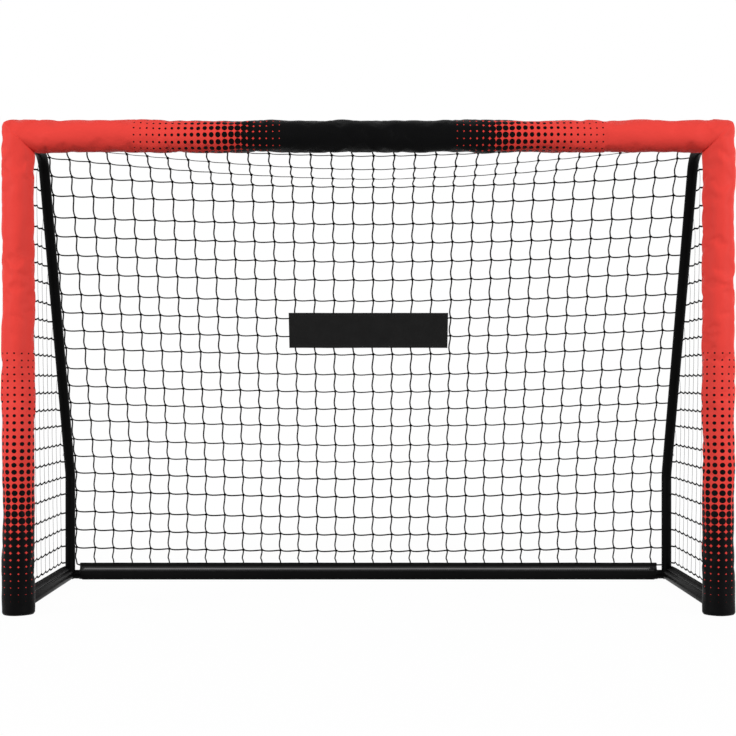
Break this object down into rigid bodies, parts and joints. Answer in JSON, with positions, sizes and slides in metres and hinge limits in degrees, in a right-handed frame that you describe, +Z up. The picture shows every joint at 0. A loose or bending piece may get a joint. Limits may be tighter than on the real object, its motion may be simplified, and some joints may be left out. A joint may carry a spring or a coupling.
{
  "type": "padded goal net",
  "caption": "Free-standing ball goal: plug-together steel tube frame with padded fabric-covered posts and crossbar, sloping side rails and a knotted net on roof, back and sides.",
  "frame": {"origin": "on the ground, in the middle of the goal's outer box", "axes": "+X along the crossbar to the right as seen from the field, +Y from the mouth to the back, +Z up"},
  "size_m": [1.8, 0.6595, 1.213],
  "materials": {
    "frame_steel": "black powder coat, hidden in the padding",
    "powder_coat": "satin black powder coat",
    "cap_plastic": "fine-textured black polyethylene",
    "button_steel": "zinc-bright pressed steel",
    "spring_steel": "oiled spring steel strip",
    "foam": "closed-cell foam with a cut skin",
    "cover_fabric": "coated polyester, red with a black halftone, soft sheen",
    "hook_and_loop": "matt black hook-and-loop tape",
    "net_twine": "knotted black polyethylene twine",
    "hem_fabric": "woven black polyester band",
    "zip_coil": "black nylon coil on woven tape",
    "zip_metal": "black enamelled die-cast zinc",
    "patch_fabric": "fine black woven panel, plain"
  },
  "bodies": {
    "frame": {"crossbar_tube_left": "frame_steel", "crossbar_tube_right": "frame_steel", "crossbar_joiner": "frame_steel", "post_tube_left": "frame_steel", "post_tube_right": "frame_steel", "top_corner_left": "powder_coat", "top_corner_right": "powder_coat", "foot_elbow_left": "powder_coat", "foot_elbow_right": "powder_coat", "side_tube_left": "powder_coat", "side_tube_right": "powder_coat", "side_base_left": "powder_coat", "side_base_right": "powder_coat", "rear_bar_left": "powder_coat", "rear_bar_right": "powder_coat", "end_cap_left": "cap_plastic", "end_cap_right": "cap_plastic", "leaf_spring_rail_left": "spring_steel", "leaf_spring_rail_right": "spring_steel", "leaf_spring_knee_left": "spring_steel", "leaf_spring_knee_right": "spring_steel", "leaf_spring_foot_left": "spring_steel", "leaf_spring_foot_right": "spring_steel", "crossbar_foam_left": "foam", "crossbar_foam_right": "foam", "post_foam_left": "foam", "post_foam_right": "foam", "crossbar_cover": "cover_fabric", "post_cover_left": "cover_fabric", "post_cover_right": "cover_fabric", "closure_crossbar": "hook_and_loop", "closure_post_left": "hook_and_loop", "closure_post_right": "hook_and_loop", "net_roof_and_back": "net_twine", "net_side_left": "net_twine", "net_side_right": "net_twine", "hem_rear": "hem_fabric", "hem_side_left": "hem_fabric", "hem_side_right": "hem_fabric", "hem_zip": "zip_coil", "net_patch": "patch_fabric"},
    "slider": {"zip_slider": "zip_metal"},
    "pull": {"zip_pull": "zip_metal"},
    "button_rail_left": {"snap_button_rail_left": "button_steel"},
    "button_rail_right": {"snap_button_rail_right": "button_steel"},
    "button_knee_left": {"snap_button_knee_left": "button_steel"},
    "button_knee_right": {"snap_button_knee_right": "button_steel"},
    "button_foot_left": {"snap_button_foot_left": "button_steel"},
    "button_foot_right": {"snap_button_foot_right": "button_steel"}
  },
  "joints": [
    {"name": "zip_travel", "type": "slide", "parent": "frame", "child": "slider", "axis": [-1, 0, 0], "range_m": [0, 1.62]},
    {"name": "pull_swing", "type": "hinge", "parent": "slider", "child": "pull", "pos_m": [0.823, 0.29885, 0.03716], "axis": [0, 0.8104, 0.5859], "range_deg": [0, 172]},
    {"name": "press_rail_left", "type": "slide", "parent": "frame", "child": "button_rail_left", "axis": [-1, 0, 0], "range_m": [0, 0.0046], "stiffness_N_per_m": 2500, "springref_m": -0.0005, "deforming": ["leaf_spring_rail_left"]},
    {"name": "press_rail_right", "type": "slide", "parent": "frame", "child": "button_rail_right", "axis": [1, 0, 0], "range_m": [0, 0.0046], "stiffness_N_per_m": 2500, "springref_m": -0.0005, "deforming": ["leaf_spring_rail_right"]},
    {"name": "press_knee_left", "type": "slide", "parent": "frame", "child": "button_knee_left", "axis": [1, 0, 0], "range_m": [0, 0.0046], "stiffness_N_per_m": 2500, "springref_m": -0.0005, "deforming": ["leaf_spring_knee_left"]},
    {"name": "press_knee_right", "type": "slide", "parent": "frame", "child": "button_knee_right", "axis": [-1, 0, 0], "range_m": [0, 0.0046], "stiffness_N_per_m": 2500, "springref_m": -0.0005, "deforming": ["leaf_spring_knee_right"]},
    {"name": "press_foot_left", "type": "slide", "parent": "frame", "child": "button_foot_left", "axis": [-1, 0, 0], "range_m": [0, 0.0046], "stiffness_N_per_m": 2500, "springref_m": -0.0005, "deforming": ["leaf_spring_foot_left"]},
    {"name": "press_foot_right", "type": "slide", "parent": "frame", "child": "button_foot_right", "axis": [1, 0, 0], "range_m": [0, 0.0046], "stiffness_N_per_m": 2500, "springref_m": -0.0005, "deforming": ["leaf_spring_foot_right"]}
  ]
}
